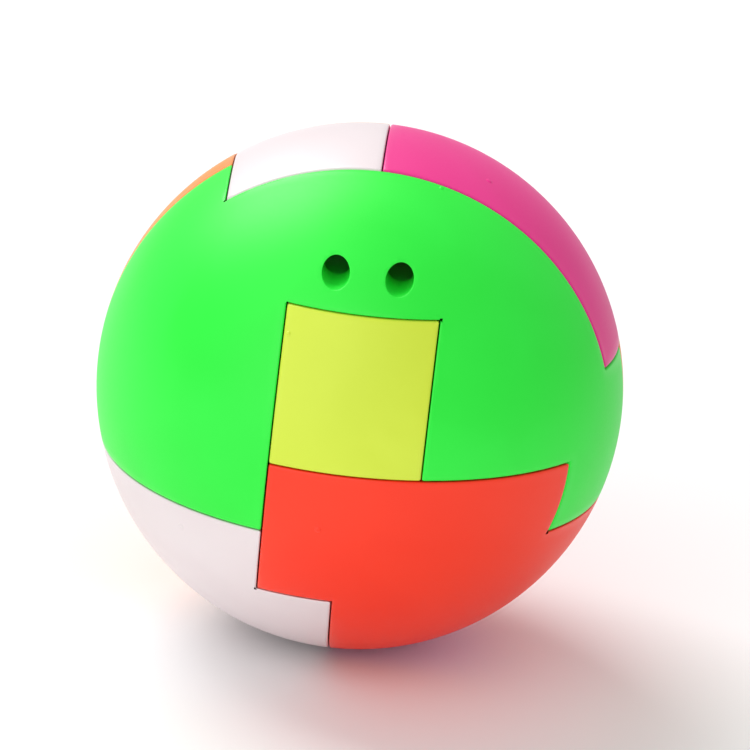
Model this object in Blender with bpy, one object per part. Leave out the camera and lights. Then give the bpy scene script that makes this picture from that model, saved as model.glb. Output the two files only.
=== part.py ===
"""Six-piece interlocking puzzle ball.

Six moulded pieces, each a bar two grid units square with lumps on it, cross
inside a ball. The plain key bar slides out along Y and frees the rest. The
frame's origin is the ball's centre, +Z is up and -Y is the front, where the
two cord holes are.
"""

import math

import bmesh
import bpy
from mathutils import Matrix, Vector

# Driving dimensions, in metres.
BALL_RADIUS = 0.030
GRID = 0.0085              # one unit of the notches; every bar is two units square
SEAM_GAP = 0.0003          # running clearance between two neighbouring pieces
WALL = 0.0018              # wall left around the moulded cores
CORE_WIDTH = 0.0055        # width of every core pin, so that ribs stay between the pockets
CORD_HOLE_RADIUS = 0.00155
CORD_HOLE_X = 0.00355      # each cord hole's distance from the middle plane
CORD_HOLE_Z = 0.0206
CORD_CHAMBER_HEIGHT = 0.0052
CORD_BRIDGE = 0.0042       # thickness of the bridge that the cord passes round

SPHERE_SEGMENTS = 72
SPHERE_RINGS = 36
HOLE_SEGMENTS = 24
OUT = 4                    # a block's end past the ball's surface, in grid units
HALF_GAP = SEAM_GAP / 2
WELD_DISTANCE = 0.00001    # closes the hairline facets that trimming a faceted ball leaves


def lane(cell):
    """Range of a core pin in the middle of one grid cell, in grid units."""
    half = CORE_WIDTH / GRID / 2
    return (cell + 0.5 - half, cell + 0.5 + half)


WALL_UNITS = WALL / GRID
CHAMBER_HALF_WIDTH = (CORD_HOLE_X + CORD_HOLE_RADIUS + 0.0012) / GRID
CHAMBER_FLOOR = 2 + WALL_UNITS
CHAMBER_FRONT = -math.sqrt(BALL_RADIUS**2 - CORD_HOLE_X**2 - CORD_HOLE_Z**2) + CORD_BRIDGE

# Each piece is the part of the ball inside its blocks, less its cores. A block
# or a core is three ranges, along X, Y and Z, in grid units. A core ends on
# the plane of the mating face that it is open through.
PIECES = {
    "yellow_key": {
        "colour": (0.708, 0.847, 0.100),
        "blocks": [((-1, 1), (-OUT, OUT), (0, 2))],
        "cores": [
            (lane(-1), (-OUT, -WALL_UNITS / 2), (0, 2 - WALL_UNITS)),
            (lane(0), (-OUT, -WALL_UNITS / 2), (0, 2 - WALL_UNITS)),
            (lane(-1), (WALL_UNITS / 2, OUT), (0, 2 - WALL_UNITS)),
            (lane(0), (WALL_UNITS / 2, OUT), (0, 2 - WALL_UNITS)),
        ],
    },
    "green_front": {
        "colour": (0.065, 0.921, 0.100),
        "blocks": [
            ((-OUT, OUT), (-OUT, -1), (2, OUT)),     # cap over the key's front end
            ((-OUT, -1), (-OUT, -1), (-1, OUT)),     # left cheek
            ((1, OUT), (-OUT, -1), (0, OUT)),        # right cheek
            ((1, OUT), (-2, -1), (-1, OUT)),         # right cheek's root, behind the red lug
            ((-OUT, -2), (-OUT, 0), (-1, OUT)),      # left arm
            ((2, OUT), (-2, 0), (-1, 1)),            # right arm
        ],
        "cores": [
            (lane(-2), (-OUT, -1), (-1 + WALL_UNITS, OUT)),
            (lane(1), (-OUT, -1), (WALL_UNITS, OUT)),
            (lane(-3), (-OUT, 0), (-1 + WALL_UNITS, OUT)),
            (
                (-CHAMBER_HALF_WIDTH, CHAMBER_HALF_WIDTH),
                (CHAMBER_FRONT / GRID, -1),
                (CHAMBER_FLOOR, CHAMBER_FLOOR + CORD_CHAMBER_HEIGHT / GRID),
            ),
        ],
    },
    "orange_rear": {
        "colour": (0.956, 0.352, 0.102),
        "blocks": [
            ((-OUT, -1), (1, OUT), (-OUT, OUT)),     # left rear quarter
            ((-OUT, -2), (0, OUT), (-OUT, OUT)),     # left side
            ((-OUT, 0), (1, OUT), (2, OUT)),         # lip over the key
            ((-OUT, 0), (1, OUT), (-OUT, -2)),       # lip under the red bar
            ((-OUT, OUT), (1, 2), (-1, 0)),          # bridge under the key
            ((1, OUT), (1, 2), (-1, 1)),             # right arm's root
            ((2, OUT), (0, 2), (-1, 1)),             # right arm
        ],
        "cores": [
            (lane(-2), (1, OUT), (-OUT, -WALL_UNITS / 2)),
            (lane(-2), (1, OUT), (WALL_UNITS / 2, OUT)),
            (lane(-3), (0, OUT), (-OUT, -WALL_UNITS / 2)),
            (lane(-3), (0, OUT), (WALL_UNITS / 2, OUT)),
        ],
    },
    "white_left": {
        "colour": (0.939, 0.888, 0.905),
        "blocks": [
            ((-2, -1), (-1, 1), (-OUT, OUT)),        # upright beside the key
            ((-2, 0), (-1, 1), (2, OUT)),            # top end
            ((-2, 0), (-1, 1), (-OUT, -2)),          # bottom end
            ((-2, 0), (0, 1), (-OUT, 0)),            # tooth under the key
            ((-OUT, 0), (-OUT, 0), (-OUT, -2)),      # foot
            ((-OUT, -1), (-OUT, 0), (-OUT, -1)),     # lower left corner
        ],
        "cores": [
            ((-2 + WALL_UNITS, 0), lane(-1), (2 + WALL_UNITS, OUT)),
            ((-2 + WALL_UNITS, 0), lane(0), (2 + WALL_UNITS, OUT)),
            ((-2 + WALL_UNITS, 0), lane(-1), (-OUT, -2 - WALL_UNITS)),
            ((-2 + WALL_UNITS, 0), lane(0), (-OUT, -2 - WALL_UNITS)),
            (lane(-2), (-OUT, -1 - WALL_UNITS), (-OUT, -1)),
            (lane(-3), (-OUT, -1 - WALL_UNITS), (-OUT, -1)),
        ],
    },
    "pink_right": {
        "colour": (0.896, 0.091, 0.352),
        "blocks": [
            ((1, 2), (-1, 1), (-OUT, OUT)),          # upright beside the key
            ((0, 2), (-1, 1), (-OUT, 0)),            # lower bar
            ((0, OUT), (-1, OUT), (2, OUT)),         # cap
            ((1, OUT), (-1, OUT), (1, OUT)),         # shoulder over the right arms
            ((1, OUT), (2, OUT), (0, OUT)),          # rear lug
        ],
        "cores": [
            ((0, 2 - WALL_UNITS), lane(-1), (-OUT, -WALL_UNITS)),
            ((0, 2 - WALL_UNITS), lane(0), (-OUT, -WALL_UNITS)),
            ((0, OUT), lane(-1), (2 + WALL_UNITS, OUT)),
            ((0, OUT), lane(0), (2 + WALL_UNITS, OUT)),
            ((0, OUT), lane(1), (2 + WALL_UNITS, OUT)),
        ],
    },
    "red_lower": {
        "colour": (0.982, 0.067, 0.030),
        "blocks": [
            ((-1, 1), (-OUT, -1), (-2, 0)),          # front end of the bar
            ((-1, 0), (-OUT, 0), (-2, 0)),           # tooth under the key
            ((-1, OUT), (-OUT, -2), (-2, 0)),        # front lug
            ((0, OUT), (-OUT, -2), (-OUT, 0)),       # front lug's root
            ((-1, OUT), (-OUT, -1), (-2, -1)),       # front bar to the corner
            ((0, OUT), (-OUT, -1), (-OUT, -1)),      # lower right corner, front
            ((2, OUT), (-OUT, OUT), (-OUT, -1)),     # hoop round the pink bar
            ((0, OUT), (1, OUT), (-OUT, -1)),        # lower right corner, rear
            ((-1, OUT), (1, OUT), (-2, -1)),         # rear bar to the corner
            ((-1, OUT), (2, OUT), (-2, 0)),          # rear end of the bar
            ((0, OUT), (2, OUT), (-OUT, 0)),         # rear lug
        ],
        "cores": [
            (lane(-1), (-OUT, -1 - WALL_UNITS), (-2 + WALL_UNITS, 0)),
            (lane(0), (-OUT, -1 - WALL_UNITS), (-2 + WALL_UNITS, 0)),
            (lane(-1), (2 + WALL_UNITS, OUT), (-2 + WALL_UNITS, 0)),
            (lane(0), (2 + WALL_UNITS, OUT), (-2 + WALL_UNITS, 0)),
            ((1 + WALL_UNITS, OUT), lane(-2), (-OUT, -1)),
            ((1 + WALL_UNITS, OUT), lane(1), (-OUT, -1)),
        ],
    },
}


def clear_scene():
    """Remove everything that the file opens with."""
    for item in list(bpy.data.objects):
        bpy.data.objects.remove(item, do_unlink=True)


def new_collection(name):
    """Add a collection to the scene."""
    collection = bpy.data.collections.new(name)
    bpy.context.scene.collection.children.link(collection)
    return collection


def new_object(name, shape, collection):
    """Turn a bmesh into an object in the given collection."""
    mesh = bpy.data.meshes.new(name)
    shape.to_mesh(mesh)
    shape.free()
    item = bpy.data.objects.new(name, mesh)
    collection.objects.link(item)
    return item


def hide_cutter(cutter):
    """Keep a cutter out of the model."""
    cutter.hide_render = True
    cutter.display_type = "WIRE"
    return cutter


def box_cutter(name, boxes, inset, collection):
    """Boxes given in grid units, each drawn in by the inset on every side."""
    shape = bmesh.new()
    for ranges in boxes:
        low = Vector([span[0] * GRID + inset for span in ranges])
        high = Vector([span[1] * GRID - inset for span in ranges])
        place = Matrix.Translation((low + high) / 2) @ Matrix.Diagonal(high - low).to_4x4()
        bmesh.ops.create_cube(shape, size=1.0, matrix=place)
    return hide_cutter(new_object(name, shape, collection))


def ball(name, radius, collection):
    """A sphere about the origin."""
    shape = bmesh.new()
    bmesh.ops.create_uvsphere(
        shape, u_segments=SPHERE_SEGMENTS, v_segments=SPHERE_RINGS, radius=radius
    )
    return new_object(name, shape, collection)


def add_boolean(item, operation, cutter):
    """Cut or trim an object with another, by the exact solver."""
    boolean = item.modifiers.new(f"{operation.lower()} {cutter.name}", "BOOLEAN")
    boolean.operation = operation
    boolean.solver = "EXACT"
    boolean.use_self = True
    boolean.object = cutter


def plastic(name, colour):
    """Satin moulded plastic in one colour."""
    material = bpy.data.materials.new(name)
    material.use_nodes = True
    shader = material.node_tree.nodes["Principled BSDF"]
    shader.inputs["Base Color"].default_value = (*colour, 1.0)
    shader.inputs["Roughness"].default_value = 0.42
    shader.inputs["Metallic"].default_value = 0.0
    return material


def make_piece(name, design, pieces, cutters):
    """Trim a ball to the piece's blocks, then sink the moulded cores into it."""
    piece = ball(name, BALL_RADIUS, pieces)
    piece.data.materials.append(plastic(f"{name}_plastic", design["colour"]))
    piece.data.shade_smooth()
    piece.data.set_sharp_from_angle(angle=math.radians(30))
    blocks = box_cutter(f"{name}_blocks", design["blocks"], HALF_GAP, cutters)
    add_boolean(piece, "INTERSECT", blocks)
    cores = box_cutter(f"{name}_cores", design["cores"], 0.0, cutters)
    inner_ball = hide_cutter(ball(f"{name}_inner_ball", BALL_RADIUS - WALL, cutters))
    add_boolean(cores, "INTERSECT", inner_ball)
    add_boolean(piece, "DIFFERENCE", cores)
    return piece


def weld_hairlines(piece):
    """Merge corners that trimming has left almost on top of each other."""
    weld = piece.modifiers.new("weld hairlines", "WELD")
    weld.merge_threshold = WELD_DISTANCE


def drill_cord_holes(piece, cutters):
    """Two round holes along Y, from the front into the cord chamber."""
    shape = bmesh.new()
    front, back = -BALL_RADIUS, CHAMBER_FRONT + WALL
    for side in (-1, 1):
        middle = Vector((side * CORD_HOLE_X, (front + back) / 2, CORD_HOLE_Z))
        bmesh.ops.create_cone(
            shape,
            cap_ends=True,
            segments=HOLE_SEGMENTS,
            radius1=CORD_HOLE_RADIUS,
            radius2=CORD_HOLE_RADIUS,
            depth=back - front,
            matrix=Matrix.Translation(middle) @ Matrix.Rotation(math.pi / 2, 4, "X"),
        )
    drills = hide_cutter(new_object("cord_hole_drills", shape, cutters))
    add_boolean(piece, "DIFFERENCE", drills)


def build():
    """Make the six pieces of the ball."""
    clear_scene()
    pieces = new_collection("puzzle_ball")
    cutters = new_collection("cutters")
    made = {name: make_piece(name, design, pieces, cutters) for name, design in PIECES.items()}
    drill_cord_holes(made["green_front"], cutters)
    for piece in made.values():
        weld_hairlines(piece)


build()
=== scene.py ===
"""Looks of the six-piece interlocking puzzle ball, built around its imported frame.

The frame's origin is the ball's centre, +Z is up and -Y is the front, where
the cord holes are. Every length is in metres. The burr's blocks and cores are
given in grid units, and the grid unit itself is read off the frame.
"""

import logging
import math
from dataclasses import dataclass, field
from enum import Enum

import bmesh
import bpy
import numpy as np
from mathutils import Matrix, Vector


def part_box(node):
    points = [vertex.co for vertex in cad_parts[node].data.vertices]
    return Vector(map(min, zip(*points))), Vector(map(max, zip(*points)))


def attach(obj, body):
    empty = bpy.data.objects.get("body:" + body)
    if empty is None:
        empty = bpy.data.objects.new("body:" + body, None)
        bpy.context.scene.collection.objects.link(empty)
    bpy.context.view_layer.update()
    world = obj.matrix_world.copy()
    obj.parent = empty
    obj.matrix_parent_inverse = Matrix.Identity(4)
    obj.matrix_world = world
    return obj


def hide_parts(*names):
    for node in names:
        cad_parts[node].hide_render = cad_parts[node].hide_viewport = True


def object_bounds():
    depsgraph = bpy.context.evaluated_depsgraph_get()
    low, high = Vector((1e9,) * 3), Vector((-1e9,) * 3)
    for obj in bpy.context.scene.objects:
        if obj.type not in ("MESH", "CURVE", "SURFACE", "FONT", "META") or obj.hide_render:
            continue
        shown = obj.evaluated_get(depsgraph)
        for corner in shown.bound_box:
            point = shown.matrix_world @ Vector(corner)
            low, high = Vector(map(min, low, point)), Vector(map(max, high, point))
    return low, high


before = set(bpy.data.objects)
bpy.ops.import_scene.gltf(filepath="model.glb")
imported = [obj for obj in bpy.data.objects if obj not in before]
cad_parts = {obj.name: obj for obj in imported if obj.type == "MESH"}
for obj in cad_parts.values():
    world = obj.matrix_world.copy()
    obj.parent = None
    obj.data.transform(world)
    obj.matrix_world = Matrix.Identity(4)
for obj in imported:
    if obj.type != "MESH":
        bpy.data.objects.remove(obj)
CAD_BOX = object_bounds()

LOG = logging.getLogger("puzzle_ball")

OUT = 4.0                       # a block's end past the ball's surface, in grid units
WALL = 0.0018                   # wall left around the moulded cores
CORE_WIDTH = 0.0055             # width of every core pin
RIM_RADIUS = 0.00022            # radius of the rounded rims
RIM_REACH = 1.6 * RIM_RADIUS    # corners nearer to a rim than this are merged into it
RIM_SPACING = 0.45 * RIM_REACH  # corners along a rim are kept at least this far apart
RIM_FADE = 6 * RIM_RADIUS       # how far from a rim its polish fades out
RIM_SEGMENTS = 3                # facets across a rounded rim
STRAIGHT_TURN = math.radians(12)  # a rim that turns by less than this at a corner runs straight
SHARP_TURN = math.radians(50)   # an edge that turns by more than this is shaded sharp
TOUCHING = 1e-6                 # corners of a moulding nearer to each other than this are one
DOUBLED = 1e-7                  # points of a drill or a stub nearer to each other than this are one
SAME_DIRECTION = 7              # decimals to which two directions agree when they are one
NO_LENGTH = 1e-9                # an edge shorter than this has no direction
SKIN_DEPTH = 0.00005            # how far the ball's flat facets may lie inside its surface
RIM_TURN = math.radians(25)     # an edge that turns by more than this is a rim
PART_POINTS = 500               # most points whose distances to the rims are worked out together
SEAM_INSET = 0.00007            # how far a finished moulding stays behind its grid planes

Span = tuple[float, float]
Box = tuple[Span, Span, Span]


class Body(Enum):
    """The frame's moving bodies."""

    BALL = "ball_body"
    KEY = "key"


class Trim(Enum):
    """How one closed shape trims another."""

    JOIN = "UNION"
    KEEP_INSIDE = "INTERSECT"
    REMOVE = "DIFFERENCE"


# ---------------------------------------------------------------- sizes


@dataclass(frozen=True)
class BallSizes:
    """Sizes that every piece shares, read off the frame.

    Attributes:
        radius: the ball's radius.
        grid: one unit of the burr's notches.
    """

    radius: float
    grid: float

    @classmethod
    def from_frame(cls) -> "BallSizes":
        """Measure the key bar and the whole ball.

        Returns:
            The sizes. The key's lower face lies half a running gap above the
            middle plane, and its side lies as far inside its grid plane.
        """
        key_low, key_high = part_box("yellow_key")
        ball_low, ball_high = CAD_BOX
        radius = min(min(ball_high), -max(ball_low))
        return cls(radius=radius, grid=key_high.x + key_low.z)

    @property
    def wall_units(self) -> float:
        """The wall around the cores, in grid units."""
        return WALL / self.grid

    def lane(self, cell: int) -> Span:
        """Range of a core pin in the middle of one grid cell, in grid units."""
        half = CORE_WIDTH / self.grid / 2
        return (cell + 0.5 - half, cell + 0.5 + half)


# ---------------------------------------------------------------- surfaces


def new_object(name: str, points: np.ndarray, faces: np.ndarray) -> bpy.types.Object:
    """Put arrays of points and faces into an object at the origin.

    Args:
        name: the object's name.
        points: an n by 3 array of places.
        faces: an m by k array of point numbers, counter-clockwise from outside.

    Returns:
        The new object, linked to the scene.
    """
    mesh = bpy.data.meshes.new(name)
    mesh.from_pydata(points.tolist(), [], faces.tolist())
    item = bpy.data.objects.new(name, mesh)
    bpy.context.scene.collection.objects.link(item)
    return item


def grid_faces(rows: int, columns: int, wrap: bool = False) -> np.ndarray:
    """Quads of a grid of points stored row by row.

    Args:
        rows: number of rows of points.
        columns: number of points in a row.
        wrap: whether the last column joins the first.

    Returns:
        An array of quads.
    """
    last = columns if wrap else columns - 1
    i, j = np.meshgrid(np.arange(rows - 1), np.arange(last), indexing="ij")
    k = (j + 1) % columns
    quads = np.stack([i * columns + j, (i + 1) * columns + j, (i + 1) * columns + k, i * columns + k], -1)
    return quads.reshape(-1, 4)


def cube_sphere(radius: float, cells: int) -> tuple[np.ndarray, np.ndarray]:
    """A sphere with no poles: a cube's six grids blown up to one radius.

    On each side the parameters a and b run from -45 to 45 degrees, and the
    point is the radius times the direction (tan a, tan b, 1), turned to that
    side, so that all the quads are about as large.

    Args:
        radius: the sphere's radius.
        cells: quads along a cube's edge.

    Returns:
        The points and the quads.
    """
    tangent = np.tan(np.linspace(-np.pi / 4, np.pi / 4, cells + 1))
    a, b = np.meshgrid(tangent, tangent, indexing="ij")
    one = np.ones_like(a)
    sides = [(one, a, b), (-one, b, a), (b, one, a), (a, -one, b), (a, b, one), (b, a, -one)]
    points = np.concatenate([np.stack(side, -1).reshape(-1, 3) for side in sides])
    points *= radius / np.linalg.norm(points, axis=1, keepdims=True)
    patch = grid_faces(cells + 1, cells + 1)
    quads = np.concatenate([patch + side * a.size for side in range(len(sides))])
    rounded = np.round(points / radius, SAME_DIRECTION)
    _, first, inverse = np.unique(rounded, axis=0, return_index=True, return_inverse=True)
    return points[first], inverse.reshape(-1)[quads]


def box_arrays(boxes: list[Box], unit: float, inset: float) -> tuple[np.ndarray, np.ndarray]:
    """Closed boxes, each drawn in by the inset on every side.

    A box's corner is its low or its high end along each axis, so the corners
    are the eight products of the three spans.

    Args:
        boxes: spans along X, Y and Z, in units.
        unit: the length of a unit.
        inset: how far each side is drawn in.

    Returns:
        The points and the quads.
    """
    spans = np.array(boxes) * unit + np.array([inset, -inset])
    pick = np.stack(np.meshgrid([0, 1], [0, 1], [0, 1], indexing="ij"), -1).reshape(-1, 3)
    points = spans[:, np.arange(3), pick].reshape(-1, 3)
    sides = np.array([[0, 1, 3, 2], [4, 6, 7, 5], [0, 4, 5, 1], [2, 3, 7, 6], [0, 2, 6, 4], [1, 5, 7, 3]])
    quads = (sides[None] + 8 * np.arange(len(boxes))[:, None, None]).reshape(-1, 4)
    return points, quads


def turned(profile: np.ndarray, segments: int, place: Matrix) -> tuple[np.ndarray, np.ndarray]:
    """A closed turned shape: a profile carried round an axis.

    The point at angle t on a profile point (r, h) is (r cos t, r sin t, h),
    moved by the placing matrix. Both ends of the profile are at r = 0.

    Args:
        profile: radius and height from the bottom pole to the top pole.
        segments: points round the axis.
        place: where the shape goes.

    Returns:
        The points, and the faces as quads whose pole ends repeat a point.
    """
    angle = np.linspace(0, 2 * np.pi, segments, endpoint=False)
    ring = np.stack([np.cos(angle), np.sin(angle)], -1)
    radius, height = profile[:, 0, None], profile[:, 1, None]
    local = np.stack([radius * ring[:, 0], radius * ring[:, 1], height + 0 * ring[:, 0]], -1)
    turn = np.array(place)
    points = local.reshape(-1, 3) @ turn[:3, :3].T + turn[:3, 3]
    return points, grid_faces(len(profile), segments, wrap=True)[:, ::-1]


def weld(item: bpy.types.Object, distance: float = DOUBLED) -> None:
    """Merge an object's doubled points and point its faces outwards.

    Args:
        item: the object.
        distance: points nearer to each other than this are merged.
    """
    shape = bmesh.new()
    shape.from_mesh(item.data)
    bmesh.ops.remove_doubles(shape, verts=shape.verts, dist=distance)
    bmesh.ops.dissolve_degenerate(shape, edges=shape.edges, dist=distance)
    bmesh.ops.recalc_face_normals(shape, faces=shape.faces)
    shape.to_mesh(item.data)
    shape.free()


def bake(item: bpy.types.Object) -> None:
    """Take an object's modifiers into its mesh.

    Args:
        item: the object, which is left with no modifiers.
    """
    graph = bpy.context.evaluated_depsgraph_get()
    mesh = bpy.data.meshes.new_from_object(item.evaluated_get(graph), depsgraph=graph)
    item.modifiers.clear()
    old = item.data
    item.data = mesh
    bpy.data.meshes.remove(old)


def cut(item: bpy.types.Object, tool: bpy.types.Object, trim: Trim) -> None:
    """Trim a closed object with another closed one, which is then removed.

    Args:
        item: the object that is trimmed.
        tool: the object that it is trimmed with.
        trim: what is left of the object.
    """
    boolean = item.modifiers.new("trim", "BOOLEAN")
    boolean.operation = trim.value
    boolean.solver = "MANIFOLD"
    boolean.object = tool
    bake(item)
    bpy.data.objects.remove(tool)


# ---------------------------------------------------------------- finishes


@dataclass(frozen=True)
class Finish:
    """One colour of satin moulded plastic.

    Attributes:
        slot: the record's material slot.
        colour: the moulding's colour, linear.
        shade: what the colour drifts to where the melt ran thin, linear.
        roughness: roughness of the open faces.
        sheen: roughness of the handled rims.
        swing: how far the grain moves the roughness each way.
    """

    slot: str
    colour: tuple[float, float, float]
    shade: tuple[float, float, float]
    roughness: float = 0.46
    sheen: float = 0.30
    swing: float = 0.05


class Palette(Enum):
    """The six mouldings' finishes."""

    YELLOW = Finish("yellow_plastic", (0.660, 0.810, 0.055), (0.630, 0.780, 0.045))
    GREEN = Finish("green_plastic", (0.020, 0.870, 0.050), (0.015, 0.830, 0.040))
    ORANGE = Finish("orange_plastic", (0.920, 0.300, 0.060), (0.880, 0.270, 0.048))
    WHITE = Finish("white_plastic", (0.800, 0.710, 0.725), (0.780, 0.685, 0.700), 0.42)
    PINK = Finish("pink_plastic", (0.850, 0.032, 0.275), (0.810, 0.026, 0.250))
    RED = Finish("red_plastic", (0.985, 0.038, 0.008), (0.960, 0.032, 0.006))


class MouldedSurface:
    """The node group that every moulding shares: fine grain, slow mottle and polished rims."""

    NAME = "moulded_surface"

    def __init__(self) -> None:
        """Build the group once."""
        self.tree = bpy.data.node_groups.new(self.NAME, "ShaderNodeTree")
        self._add_sockets()
        self._add_nodes()

    def _add_sockets(self) -> None:
        """Name what goes in and what comes out."""
        inputs = {"Grain Scale": 2600.0, "Mottle Scale": 55.0, "Rim Width": 1.0}
        for name, value in inputs.items():
            socket = self.tree.interface.new_socket(name, in_out="INPUT", socket_type="NodeSocketFloat")
            socket.default_value = value
        for name in ("Grain", "Mottle", "Rim"):
            self.tree.interface.new_socket(name, in_out="OUTPUT", socket_type="NodeSocketFloat")

    def _add_nodes(self) -> None:
        """Wire the group: fine noise, slow noise, and the rim attribute to a power."""
        nodes, links = self.tree.nodes, self.tree.links
        entry, leave = nodes.new("NodeGroupInput"), nodes.new("NodeGroupOutput")
        place = nodes.new("ShaderNodeTexCoord")
        grain = nodes.new("ShaderNodeTexNoise")
        grain.inputs["Detail"].default_value = 3.0
        grain.inputs["Roughness"].default_value = 0.62
        mottle = nodes.new("ShaderNodeTexNoise")
        mottle.inputs["Detail"].default_value = 2.0
        mottle.inputs["Distortion"].default_value = 0.6
        for texture, scale in ((grain, "Grain Scale"), (mottle, "Mottle Scale")):
            links.new(place.outputs["Object"], texture.inputs["Vector"])
            links.new(entry.outputs[scale], texture.inputs["Scale"])
        spread = nodes.new("ShaderNodeMapRange")
        spread.interpolation_type = "SMOOTHSTEP"
        spread.inputs["From Min"].default_value = 0.32
        spread.inputs["From Max"].default_value = 0.68
        links.new(mottle.outputs["Fac"], spread.inputs["Value"])
        attribute = nodes.new("ShaderNodeAttribute")
        attribute.attribute_name = "rim"
        power = nodes.new("ShaderNodeMath")
        power.operation = "POWER"
        links.new(attribute.outputs["Fac"], power.inputs[0])
        links.new(entry.outputs["Rim Width"], power.inputs[1])
        links.new(grain.outputs["Fac"], leave.inputs["Grain"])
        links.new(spread.outputs["Result"], leave.inputs["Mottle"])
        links.new(power.outputs["Value"], leave.inputs["Rim"])


@dataclass
class Paintshop:
    """Makes one material for each finish.

    Attributes:
        surface: the shared node group.
        made: the materials by slot.
    """

    surface: MouldedSurface
    made: dict[str, bpy.types.Material] = field(default_factory=dict)

    def material(self, finish: Finish) -> bpy.types.Material:
        """The material of a finish, made at its first use.

        Args:
            finish: the moulding's colour and gloss.

        Returns:
            The material.
        """
        if finish.slot not in self.made:
            self.made[finish.slot] = self._mix(finish)
        return self.made[finish.slot]

    def _mix(self, finish: Finish) -> bpy.types.Material:
        """Mix one plastic.

        Its colour drifts with the mottle, its roughness with the grain and the
        rim, and the grain raises its surface.

        Args:
            finish: the moulding's colour and gloss.

        Returns:
            The material.
        """
        material = bpy.data.materials.new(finish.slot)
        material.use_nodes = True
        nodes, links = material.node_tree.nodes, material.node_tree.links
        shader = nodes["Principled BSDF"]
        group = nodes.new("ShaderNodeGroup")
        group.node_tree = self.surface.tree
        colour = nodes.new("ShaderNodeMix")
        colour.data_type = "RGBA"
        colour.inputs["A"].default_value = (*finish.colour, 1.0)
        colour.inputs["B"].default_value = (*finish.shade, 1.0)
        links.new(group.outputs["Mottle"], colour.inputs["Factor"])
        links.new(colour.outputs["Result"], shader.inputs["Base Color"])
        matte = nodes.new("ShaderNodeMapRange")
        matte.inputs["To Min"].default_value = finish.roughness - finish.swing
        matte.inputs["To Max"].default_value = finish.roughness + finish.swing
        links.new(group.outputs["Grain"], matte.inputs["Value"])
        polish = nodes.new("ShaderNodeMix")
        polish.data_type = "FLOAT"
        polish.inputs["B"].default_value = finish.sheen
        links.new(group.outputs["Rim"], polish.inputs["Factor"])
        links.new(matte.outputs["Result"], polish.inputs["A"])
        links.new(polish.outputs["Result"], shader.inputs["Roughness"])
        bump = nodes.new("ShaderNodeBump")
        bump.inputs["Strength"].default_value = 0.10
        bump.inputs["Distance"].default_value = 0.00006
        links.new(group.outputs["Grain"], bump.inputs["Height"])
        links.new(bump.outputs["Normal"], shader.inputs["Normal"])
        shader.inputs["Specular IOR Level"].default_value = 0.42
        shader.inputs["IOR"].default_value = 1.5
        return material


# ---------------------------------------------------------------- pieces


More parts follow.
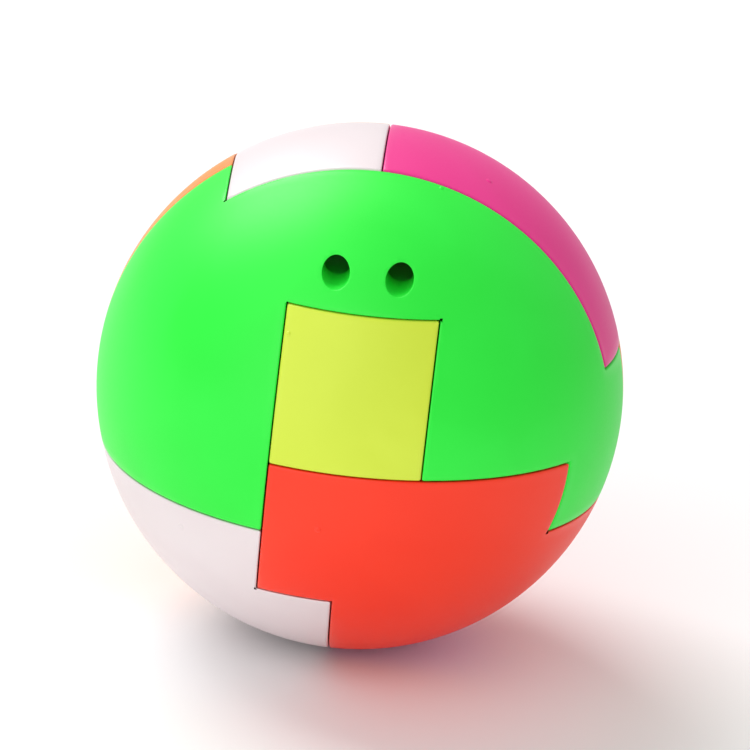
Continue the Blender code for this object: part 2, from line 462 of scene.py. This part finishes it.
@dataclass
class Moulding:
    """One of the six interlocking mouldings.

    The piece is the part of the ball inside its blocks, less its cores, which
    stop at a smaller ball so that the outer wall keeps one thickness.

    Attributes:
        node: the frame's node that the moulding stands for.
        body: the body that it moves with.
        finish: its colour.
        sizes: the ball's shared sizes.
        blocks: three spans each, in grid units.
        cores: three spans each, in grid units.
        skin_cells: quads along a side of the ball's skin.
        core_cells: quads along a side of the inner ball.
    """

    node: str
    body: Body
    finish: Palette
    sizes: BallSizes
    blocks: list[Box]
    cores: list[Box]
    skin_cells: int = 60
    core_cells: int = 26

    def build(self, shop: Paintshop) -> bpy.types.Object:
        """Shape the moulding, round its rims, dress it and hang it on its body.

        Args:
            shop: where materials are made.

        Returns:
            The finished piece.
        """
        piece = self.shape()
        rims = self.clear_rims(piece)
        self.round_rims(piece)
        self.smooth(piece)
        self.paint_rims(piece, rims)
        piece.data.materials.clear()
        piece.data.materials.append(shop.material(self.finish.value))
        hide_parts(self.node)
        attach(piece, self.body.value)
        LOG.info("%s: %d faces", piece.name, len(piece.data.polygons))
        return piece

    def shape(self) -> bpy.types.Object:
        """The sharp-edged moulding: a ball trimmed to the blocks and cored.

        Returns:
            The piece, with its modifiers taken in.
        """
        radius = self.sizes.radius
        piece = new_object(f"{self.node}_moulding", *cube_sphere(radius, self.skin_cells))
        blocks = self.box(self.blocks[0], SEAM_INSET)
        for block in self.blocks[1:]:
            cut(blocks, self.box(block, SEAM_INSET), Trim.JOIN)
        cut(piece, blocks, Trim.KEEP_INSIDE)
        for core in self.cores:
            pin = self.box(core, 0.0)
            cut(pin, new_object("inner", *cube_sphere(radius - WALL, self.core_cells)), Trim.KEEP_INSIDE)
            cut(piece, pin, Trim.REMOVE)
        return piece

    def box(self, spans: Box, inset: float) -> bpy.types.Object:
        """One closed box, from spans in grid units, drawn in by the inset."""
        return new_object("box", *box_arrays([spans], self.sizes.grid, inset))

    def clear_rims(self, piece: bpy.types.Object) -> np.ndarray:
        """Merge corners that lie too near a rim for it to be rounded.

        Args:
            piece: the sharp-edged moulding.

        Returns:
            The places of the corners on its rims.
        """
        weld(piece, TOUCHING)
        shape = bmesh.new()
        shape.from_mesh(piece.data)
        self.merge_into_rims(shape)
        self.merge_along_rims(shape)
        bmesh.ops.dissolve_degenerate(shape, edges=shape.edges, dist=TOUCHING)
        weight = shape.edges.layers.float.new("bevel_weight_edge")
        rims = self.rims(shape)
        for edge in rims:
            edge[weight] = 1.0
        places = np.array([corner.co for edge in rims for corner in edge.verts])
        shape.to_mesh(piece.data)
        shape.free()
        return places

    def is_drilled(self, place: Vector) -> bool:
        """Whether a place is on a drilled hole; a plain moulding has none."""
        return False

    def is_on_skin(self, edge: bmesh.types.BMEdge) -> bool:
        """Whether an edge lies on the ball's surface."""
        return min(corner.co.length for corner in edge.verts) > self.sizes.radius - SKIN_DEPTH

    def rims(self, shape: bmesh.types.BMesh) -> list[bmesh.types.BMEdge]:
        """Find the outer edges that turn by more than the rim turn, apart from drilled ones.

        Args:
            shape: the moulding's mesh.

        Returns:
            The edges.
        """
        outer = [edge for edge in shape.edges if edge.is_manifold and edge.is_convex]
        sharp = [edge for edge in outer if edge.calc_face_angle(0.0) > RIM_TURN]
        return [edge for edge in sharp if not self.is_drilled(edge.verts[0].co)]

    def merge_into_rims(self, shape: bmesh.types.BMesh) -> None:
        """Merge each corner beside a rim into the nearest corner on it.

        Args:
            shape: the moulding's mesh.
        """
        rims = {corner for edge in self.rims(shape) for corner in edge.verts}
        target = {}
        for edge in shape.edges:
            first, second = edge.verts
            if (first in rims) == (second in rims) or edge.calc_length() > RIM_REACH:
                continue
            if self.is_drilled(first.co) or self.is_drilled(second.co):
                continue
            loose, fixed = (second, first) if first in rims else (first, second)
            known = target.get(loose)
            if known is None or (fixed.co - loose.co).length < (known.co - loose.co).length:
                target[loose] = fixed
        bmesh.ops.weld_verts(shape, targetmap=target)

    def merge_along_rims(self, shape: bmesh.types.BMesh) -> None:
        """Merge corners that crowd each other along a rim of the skin, but keep its real corners.

        Args:
            shape: the moulding's mesh.
        """
        edges = self.rims(shape)
        around: dict[bmesh.types.BMVert, list[bmesh.types.BMEdge]] = {}
        for edge in edges:
            for corner in edge.verts:
                around.setdefault(corner, []).append(edge)
        target, used = {}, set()
        for edge in sorted(edges, key=lambda item: item.calc_length()):
            if edge.calc_length() > RIM_SPACING:
                break
            first, second = edge.verts
            if first in used or second in used or not self.is_on_skin(edge):
                continue
            movable = [corner for corner in (first, second) if is_straight(corner, around[corner])]
            if movable:
                target[movable[0]] = edge.other_vert(movable[0])
                used.update((first, second))
        bmesh.ops.weld_verts(shape, targetmap=target)

    def round_rims(self, piece: bpy.types.Object) -> None:
        """Round every rim to the rim radius.

        Args:
            piece: the moulding, with the weight of its rims set.
        """
        bevel = piece.modifiers.new("rims", "BEVEL")
        bevel.width = RIM_RADIUS
        bevel.segments = RIM_SEGMENTS
        bevel.limit_method = "WEIGHT"
        bevel.use_clamp_overlap = False
        bevel.loop_slide = False
        bake(piece)

    @staticmethod
    def smooth(piece: bpy.types.Object) -> None:
        """Shade the moulding smooth, with large faces leading the rounded rims.

        Args:
            piece: the rounded moulding.
        """
        piece.data.shade_smooth()
        piece.data.set_sharp_from_angle(angle=SHARP_TURN)
        normals = piece.modifiers.new("normals", "WEIGHTED_NORMAL")
        normals.keep_sharp = True
        bake(piece)

    def paint_rims(self, piece: bpy.types.Object, rims: np.ndarray) -> None:
        """Store how near each point is to a rim, from 0 away from it to 1 on it.

        The value is 1 - (distance / fade), held between 0 and 1, where the
        distance is to the nearest corner on a rim. The distances are worked
        out for a few hundred points at a time, to spare memory.

        Args:
            piece: the rounded moulding.
            rims: the places of the corners on its rims.
        """
        points = np.empty(len(piece.data.vertices) * 3)
        piece.data.vertices.foreach_get("co", points)
        points = points.reshape(-1, 3)
        parts = np.array_split(points, 1 + len(points) // PART_POINTS)
        nearest = [np.linalg.norm(part[:, None] - rims[None], axis=2).min(axis=1) for part in parts]
        values = np.clip(1 - np.concatenate(nearest) / RIM_FADE, 0, 1)
        attribute = piece.data.attributes.new("rim", "FLOAT", "POINT")
        attribute.data.foreach_set("value", values.astype(np.float32))


def is_straight(corner: bmesh.types.BMVert, edges: list[bmesh.types.BMEdge]) -> bool:
    """Whether a rim runs nearly straight through one of its corners.

    Args:
        corner: a corner on the rim.
        edges: the rim's edges at that corner.

    Returns:
        True where two edges meet at less than the straight turn.
    """
    if len(edges) != 2:
        return False
    first, second = (edge.other_vert(corner).co - corner.co for edge in edges)
    if min(first.length, second.length) < NO_LENGTH:
        return True
    return first.angle(-second) < STRAIGHT_TURN


@dataclass
class GreenFront(Moulding):
    """The front moulding, which also holds the two cord holes and the chamber behind them.

    Attributes:
        hole_radius: each cord hole's radius.
        hole_x: each hole's distance from the middle plane.
        hole_z: both holes' height over the ball's centre.
        chamber_height: the height of the chamber that joins the holes.
        chamber_margin: how far the chamber reaches past the holes on each side.
        bridge: thickness of the bridge that the cord passes round.
        hole_segments: points round a hole.
        lip: how far the rounded lip reaches from the hole's sharp corner.
        lift: how far the drill stands over the skin where the lip ends.
        lip_steps: points across the lip.
        lip_margin: how far round a hole is taken as drilled, in lips.
        stand_off: how far the drill's outer end stands over the skin, in lips.
    """

    hole_radius: float = 0.00155
    hole_x: float = 0.00355
    hole_z: float = 0.0206
    chamber_height: float = 0.0052
    chamber_margin: float = 0.0012
    bridge: float = 0.0042
    hole_segments: int = 56
    lip: float = 0.00014
    lift: float = 0.00001
    lip_steps: int = 9
    lip_margin: int = 2
    stand_off: int = 3

    def __post_init__(self) -> None:
        """Add the cord chamber to the cores."""
        unit = self.sizes.grid
        half = (self.hole_x + self.hole_radius + self.chamber_margin) / unit
        floor = 2 + self.sizes.wall_units
        roof = floor + self.chamber_height / unit
        self.cores = [*self.cores, ((-half, half), (self.chamber_front() / unit, -1), (floor, roof))]

    def chamber_front(self) -> float:
        """Where the chamber ends behind the bridge between the holes, along Y."""
        skin = math.sqrt(self.sizes.radius**2 - self.hole_x**2 - self.hole_z**2)
        return self.bridge - skin

    def shape(self) -> bpy.types.Object:
        """The trimmed moulding with both cord holes drilled along Y into the chamber.

        Returns:
            The piece, with its modifiers taken in.
        """
        piece = super().shape()
        for side in (-1, 1):
            rings = self.drill(side)
            quads = grid_faces(len(rings), self.hole_segments, wrap=True)
            tool = new_object("drill", rings.reshape(-1, 3), quads)
            weld(tool)
            cut(piece, tool, Trim.REMOVE)
        return piece

    def is_drilled(self, place: Vector) -> bool:
        """Whether a place is on the wall or the lip of a cord hole."""
        across = math.hypot(abs(place.x) - self.hole_x, place.z - self.hole_z)
        return place.y < 0 and across < self.hole_radius + self.lip_margin * self.lip

    def drill(self, side: int) -> np.ndarray:
        """The drill for one hole, which flares into the skin with a rounded lip.

        At each angle t round the hole's axis, the sharp corner C is where the
        wall (axis + radius (cos t, sin t)) meets the skin
        y = -sqrt(R^2 - x^2 - z^2). The lip is the curve
        (1 - u)^2 A + 2 u (1 - u) C + u^2 B, where A lies on the wall behind C
        and B on the skin outside it, both one lip away, and B is lifted a
        little so that the drill crosses the skin cleanly.

        Args:
            side: -1 for the left hole and 1 for the right one.

        Returns:
            The drill's rings of points from its tip to its outer end.
        """
        turn = np.linspace(0, 2 * np.pi, self.hole_segments, endpoint=False)
        outwards = np.stack([np.cos(turn), 0 * turn, np.sin(turn)], -1)
        axis = np.array([side * self.hole_x, 0, self.hole_z])
        corner = axis + self.hole_radius * outwards
        depth = np.sqrt(self.sizes.radius**2 - (corner**2).sum(axis=1))
        slope = (corner * outwards).sum(axis=1) / depth
        corner[:, 1] = -depth
        normal = corner / self.sizes.radius
        along = outwards + slope[:, None] * np.array([0, 1, 0])
        along /= np.linalg.norm(along, axis=1, keepdims=True)
        inner = corner + [0, self.lip, 0]
        outer = corner + self.lip * along + self.lift * normal
        u = np.linspace(0, 1, self.lip_steps)[:, None, None]
        flare = (1 - u) ** 2 * inner + 2 * u * (1 - u) * corner + u**2 * outer
        tip = axis + [0, self.chamber_front() + WALL, 0]
        floor = tip + self.hole_radius * outwards
        above = outer + self.stand_off * self.lip * normal
        rings = [np.broadcast_to(tip, floor.shape), floor, *flare, above]
        rings.append(np.broadcast_to(above.mean(axis=0), floor.shape))
        return np.stack(rings)


@dataclass
class GateMark:
    """The tiny stub that is left where the melt entered a moulding.

    Attributes:
        name: the piece's name.
        body: the body that it moves with.
        finish: the moulding's colour.
        towards: direction from the ball's centre.
        radius: the stub's radius.
        height: how far it stands over the skin.
        dent: depth of its crater, as a share of the height.
        dent_width: width of its crater, as a share of the radius.
        root: how far it reaches into the skin, as a multiple of the height.
        rings: points across the top.
        segments: points round the axis.
        rim: how polished it is, from 0 to 1.
    """

    name: str
    body: Body
    finish: Palette
    towards: tuple[float, float, float]
    radius: float = 0.00040
    height: float = 0.00013
    dent: float = 0.35
    dent_width: float = 0.3
    root: float = 3.0
    rings: int = 12
    segments: int = 20
    rim: float = 0.5

    def build(self, sizes: BallSizes, shop: Paintshop) -> bpy.types.Object:
        """Turn the stub's profile and set it on the skin.

        The top's height at distance r from the axis is a dome with a small
        crater: height times (cos(90 degrees times r / radius) less dent times
        exp(-(r / crater)^2)).

        Args:
            sizes: the ball's shared sizes.
            shop: where materials are made.

        Returns:
            The finished piece.
        """
        steps = np.linspace(self.radius, 0, self.rings)
        crater = self.dent_width * self.radius
        top = np.cos(steps / self.radius * np.pi / 2) - self.dent * np.exp(-((steps / crater) ** 2))
        depth = -self.root * self.height
        foot = np.array([[0, depth], [self.radius, depth]])
        profile = np.concatenate([foot, np.stack([steps, top * self.height], -1)])
        normal = Vector(self.towards).normalized()
        facing = normal.to_track_quat("Z", "Y").to_matrix().to_4x4()
        place = Matrix.Translation(normal * sizes.radius) @ facing
        piece = new_object(self.name, *turned(profile, self.segments, place))
        weld(piece)
        piece.data.shade_smooth()
        piece.data.set_sharp_from_angle(angle=SHARP_TURN)
        attribute = piece.data.attributes.new("rim", "FLOAT", "POINT")
        attribute.data.foreach_set("value", np.full(len(piece.data.vertices), self.rim, np.float32))
        piece.data.materials.append(shop.material(self.finish.value))
        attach(piece, self.body.value)
        LOG.info("%s: %d faces", piece.name, len(piece.data.polygons))
        return piece


@dataclass
class PuzzleBall:
    """The six mouldings and their gate marks.

    Attributes:
        sizes: the ball's shared sizes.
        shop: where materials are made.
    """

    sizes: BallSizes
    shop: Paintshop

    def build(self) -> list[bpy.types.Object]:
        """Build every piece of the ball.

        Returns:
            The finished pieces.
        """
        mouldings = [self.key(), self.green(), self.orange(), self.white(), self.pink(), self.red()]
        made = [moulding.build(self.shop) for moulding in mouldings]
        return made + [mark.build(self.sizes, self.shop) for mark in self.gate_marks()]

    def key(self) -> Moulding:
        """The plain bar that locks the rest, cored from below in four pockets.

        Returns:
            The moulding, ready to build.
        """
        lane, wall = self.sizes.lane, self.sizes.wall_units
        ends = [(-OUT, -wall / 2), (wall / 2, OUT)]
        cores = [(lane(cell), end, (0, 2 - wall)) for end in ends for cell in (-1, 0)]
        blocks = [((-1, 1), (-OUT, OUT), (0, 2))]
        return Moulding("yellow_key", Body.KEY, Palette.YELLOW, self.sizes, blocks, cores)

    def green(self) -> Moulding:
        """The front cap with both cheeks, the arms along X and the cord holes.

        Returns:
            The moulding, ready to build.
        """
        lane, wall = self.sizes.lane, self.sizes.wall_units
        blocks = [
            ((-OUT, OUT), (-OUT, -1), (2, OUT)),      # cap over the key's front end
            ((-OUT, -1), (-OUT, -1), (-1, OUT)),      # left cheek
            ((1, OUT), (-OUT, -1), (0, OUT)),         # right cheek
            ((1, OUT), (-2, -1), (-1, OUT)),          # right cheek's root, behind the red lug
            ((-OUT, -2), (-OUT, 0), (-1, OUT)),       # left arm
            ((2, OUT), (-2, 0), (-1, 1)),             # right arm
        ]
        cores = [
            (lane(-2), (-OUT, -1), (-1 + wall, OUT)),
            (lane(1), (-OUT, -1), (wall, OUT)),
            (lane(-3), (-OUT, 0), (-1 + wall, OUT)),
        ]
        return GreenFront("green_front", Body.BALL, Palette.GREEN, self.sizes, blocks, cores)

    def orange(self) -> Moulding:
        """The rear piece: the left rear quarter, the bridge under the key and the right arm.

        Returns:
            The moulding, ready to build.
        """
        lane, wall = self.sizes.lane, self.sizes.wall_units
        blocks = [
            ((-OUT, -1), (1, OUT), (-OUT, OUT)),      # left rear quarter
            ((-OUT, -2), (0, OUT), (-OUT, OUT)),      # left side
            ((-OUT, 0), (1, OUT), (2, OUT)),          # lip over the key
            ((-OUT, 0), (1, OUT), (-OUT, -2)),        # lip under the red bar
            ((-OUT, OUT), (1, 2), (-1, 0)),           # bridge under the key
            ((1, OUT), (1, 2), (-1, 1)),              # right arm's root
            ((2, OUT), (0, 2), (-1, 1)),              # right arm
        ]
        halves = [(-OUT, -wall / 2), (wall / 2, OUT)]
        cores = [(lane(cell), (cell + 3, OUT), half) for cell in (-2, -3) for half in halves]
        return Moulding("orange_rear", Body.BALL, Palette.ORANGE, self.sizes, blocks, cores)

    def white(self) -> Moulding:
        """The left upright with its two ends, the tooth under the key and the lower left corner.

        Returns:
            The moulding, ready to build.
        """
        lane, wall = self.sizes.lane, self.sizes.wall_units
        blocks = [
            ((-2, -1), (-1, 1), (-OUT, OUT)),         # upright beside the key
            ((-2, 0), (-1, 1), (2, OUT)),             # top end
            ((-2, 0), (-1, 1), (-OUT, -2)),           # bottom end
            ((-2, 0), (0, 1), (-OUT, 0)),             # tooth under the key
            ((-OUT, 0), (-OUT, 0), (-OUT, -2)),       # foot
            ((-OUT, -1), (-OUT, 0), (-OUT, -1)),      # lower left corner
        ]
        ends = [(2 + wall, OUT), (-OUT, -2 - wall)]
        cores = [((-2 + wall, 0), lane(cell), end) for end in ends for cell in (-1, 0)]
        cores += [(lane(cell), (-OUT, -1 - wall), (-OUT, -1)) for cell in (-2, -3)]
        return Moulding("white_left", Body.BALL, Palette.WHITE, self.sizes, blocks, cores)

    def pink(self) -> Moulding:
        """The right upright with its lower bar, the cap, the shoulder and the rear lug.

        Returns:
            The moulding, ready to build.
        """
        lane, wall = self.sizes.lane, self.sizes.wall_units
        blocks = [
            ((1, 2), (-1, 1), (-OUT, OUT)),           # upright beside the key
            ((0, 2), (-1, 1), (-OUT, 0)),             # lower bar
            ((0, OUT), (-1, OUT), (2, OUT)),          # cap
            ((1, OUT), (-1, OUT), (1, OUT)),          # shoulder over the right arms
            ((1, OUT), (2, OUT), (0, OUT)),           # rear lug
        ]
        cores = [((0, 2 - wall), lane(cell), (-OUT, -wall)) for cell in (-1, 0)]
        cores += [((0, OUT), lane(cell), (2 + wall, OUT)) for cell in (-1, 0, 1)]
        return Moulding("pink_right", Body.BALL, Palette.PINK, self.sizes, blocks, cores)

    def red(self) -> Moulding:
        """The bar under the key, its lugs, and the lower right corners joined by a hoop.

        Returns:
            The moulding, ready to build.
        """
        lane, wall = self.sizes.lane, self.sizes.wall_units
        blocks = [
            ((-1, 1), (-OUT, -1), (-2, 0)),           # front end of the bar
            ((-1, 0), (-OUT, 0), (-2, 0)),            # tooth under the key
            ((-1, OUT), (-OUT, -2), (-2, 0)),         # front lug
            ((0, OUT), (-OUT, -2), (-OUT, 0)),        # front lug's root
            ((-1, OUT), (-OUT, -1), (-2, -1)),        # front bar to the corner
            ((0, OUT), (-OUT, -1), (-OUT, -1)),       # lower right corner, front
            ((2, OUT), (-OUT, OUT), (-OUT, -1)),      # hoop round the pink bar
            ((0, OUT), (1, OUT), (-OUT, -1)),         # lower right corner, rear
            ((-1, OUT), (1, OUT), (-2, -1)),          # rear bar to the corner
            ((-1, OUT), (2, OUT), (-2, 0)),           # rear end of the bar
            ((0, OUT), (2, OUT), (-OUT, 0)),          # rear lug
        ]
        ends = [(-OUT, -1 - wall), (2 + wall, OUT)]
        cores = [(lane(cell), end, (-2 + wall, 0)) for end in ends for cell in (-1, 0)]
        cores += [((1 + wall, OUT), lane(cell), (-OUT, -1)) for cell in (-2, 1)]
        return Moulding("red_lower", Body.BALL, Palette.RED, self.sizes, blocks, cores)

    @staticmethod
    def gate_marks() -> list[GateMark]:
        """The stubs on the mouldings' faces, and the two at a rim.

        Returns:
            The stubs, ready to build.
        """
        return [
            GateMark("gate_mark_pink", Body.BALL, Palette.PINK, (0.40, -0.11, 0.91)),
            GateMark("gate_mark_red", Body.BALL, Palette.RED, (-0.075, -0.97, -0.23)),
            GateMark("gate_mark_white", Body.BALL, Palette.WHITE, (-0.59, -0.71, -0.38)),
            GateMark("gate_mark_orange", Body.BALL, Palette.ORANGE, (-0.60, 0.74, 0.30)),
            GateMark("gate_mark_yellow", Body.KEY, Palette.YELLOW, (-0.265, -0.84, 0.474), radius=0.00026),
            GateMark("gate_mark_green", Body.BALL, Palette.GREEN, (0.228, -0.305, 0.925), radius=0.00026),
        ]


# ---------------------------------------------------------------- studio


@dataclass
class Studio:
    """A plain pale floor, soft lights and the camera.

    Attributes:
        sizes: the ball's shared sizes.
        azimuth: the camera's turn from -Y towards +X, in degrees.
        elevation: the camera's height over the floor, in degrees.
        roll: how far the camera leans, in degrees.
        reach: the camera's distance from the ball's centre, in ball radii.
        lens: focal length in millimetres.
        sensor: the sensor's width in millimetres.
        clip_start: nearest distance that the camera sees.
        aim_right: the view's middle right of the ball's centre, in ball radii.
        aim_up: the view's middle above the ball's centre, in ball radii.
        floor_reach: half the floor's side.
        floor_points: points along the floor's side.
        floor_gap: gap between the ball and the floor.
    """

    sizes: BallSizes
    azimuth: float = 1.25
    elevation: float = 19.85
    roll: float = 6.36
    reach: float = 30.0
    lens: float = 379.2
    sensor: float = 36.0
    clip_start: float = 0.05
    aim_right: float = 0.0574
    aim_up: float = 0.0407
    floor_reach: float = 2.5
    floor_points: int = 41
    floor_gap: float = 0.0001

    def build(self) -> None:
        """Set up the floor, the lights and the camera."""
        self.add_floor()
        self.add_world()
        centre = Vector((0, 0, 0))
        high, front = Vector((-0.52, 0.50, 0.84)), Vector((-0.44, -1.06, 0.48))
        self.add_light("high_softbox", high, centre, size=0.70, power=9.0)
        self.add_light("front_fill", front, centre, size=1.60, power=8.8)
        self.add_camera()
        bpy.context.scene.view_settings.view_transform = "Standard"
        LOG.info("studio ready")

    def add_floor(self) -> None:
        """A wide pale floor just under the ball: the point at x, y has one height all over."""
        side = np.linspace(-self.floor_reach, self.floor_reach, self.floor_points)
        x, y = np.meshgrid(side, side, indexing="ij")
        height = np.full_like(x, -self.sizes.radius - self.floor_gap)
        points = np.stack([x, y, height], -1).reshape(-1, 3)
        floor = new_object("pale_floor", points, grid_faces(len(side), len(side)))
        material = bpy.data.materials.new("pale_floor")
        material.use_nodes = True
        shader = material.node_tree.nodes["Principled BSDF"]
        shader.inputs["Base Color"].default_value = (0.90, 0.90, 0.90, 1.0)
        shader.inputs["Roughness"].default_value = 0.9
        floor.data.materials.append(material)

    @staticmethod
    def add_world() -> None:
        """Even white light from all round."""
        world = bpy.data.worlds.new("studio_world")
        world.use_nodes = True
        backdrop = world.node_tree.nodes["Background"]
        backdrop.inputs["Color"].default_value = (1.0, 1.0, 1.0, 1.0)
        backdrop.inputs["Strength"].default_value = 0.56
        bpy.context.scene.world = world

    @staticmethod
    def add_light(name: str, place: Vector, target: Vector, size: float, power: float) -> None:
        """Add a square softbox.

        Args:
            name: the light's name.
            place: its centre.
            target: the point that it faces.
            size: its side.
            power: its power in watts.
        """
        lamp = bpy.data.lights.new(name, "AREA")
        lamp.shape = "SQUARE"
        lamp.size = size
        lamp.energy = power
        item = bpy.data.objects.new(name, lamp)
        item.location = place
        item.rotation_euler = (target - place).to_track_quat("-Z", "Y").to_euler()
        bpy.context.scene.collection.objects.link(item)

    def add_camera(self) -> None:
        """Place the camera on a sphere round the ball, aim it and lean it."""
        turn, rise = math.radians(self.azimuth), math.radians(self.elevation)
        out = Vector((math.sin(turn) * math.cos(rise), -math.cos(turn) * math.cos(rise), math.sin(rise)))
        radius = self.sizes.radius
        level = (-out).to_track_quat("-Z", "Y").to_matrix()
        leaning = level @ Matrix.Rotation(math.radians(self.roll), 3, "Z")
        place = out * radius * self.reach
        aim = leaning @ Vector((self.aim_right, self.aim_up, 0.0)) * radius
        facing = (aim - place).to_track_quat("-Z", "Y").to_matrix()
        data = bpy.data.cameras.new("camera")
        data.lens = self.lens
        data.sensor_width = self.sensor
        data.clip_start = self.clip_start
        camera = bpy.data.objects.new("camera", data)
        camera.location = place
        camera.rotation_euler = (facing @ Matrix.Rotation(math.radians(self.roll), 3, "Z")).to_euler()
        bpy.context.scene.collection.objects.link(camera)
        bpy.context.scene.camera = camera


def main() -> None:
    """Build the ball and the studio, and note the ball's radius and grid unit first."""
    logging.basicConfig(level=logging.INFO, format="%(name)s %(message)s")
    sizes = BallSizes.from_frame()
    LOG.info("radius %.5f, grid %.5f", sizes.radius, sizes.grid)
    PuzzleBall(sizes, Paintshop(MouldedSurface())).build()
    Studio(sizes).build()


if __name__ == "__main__":
    main()
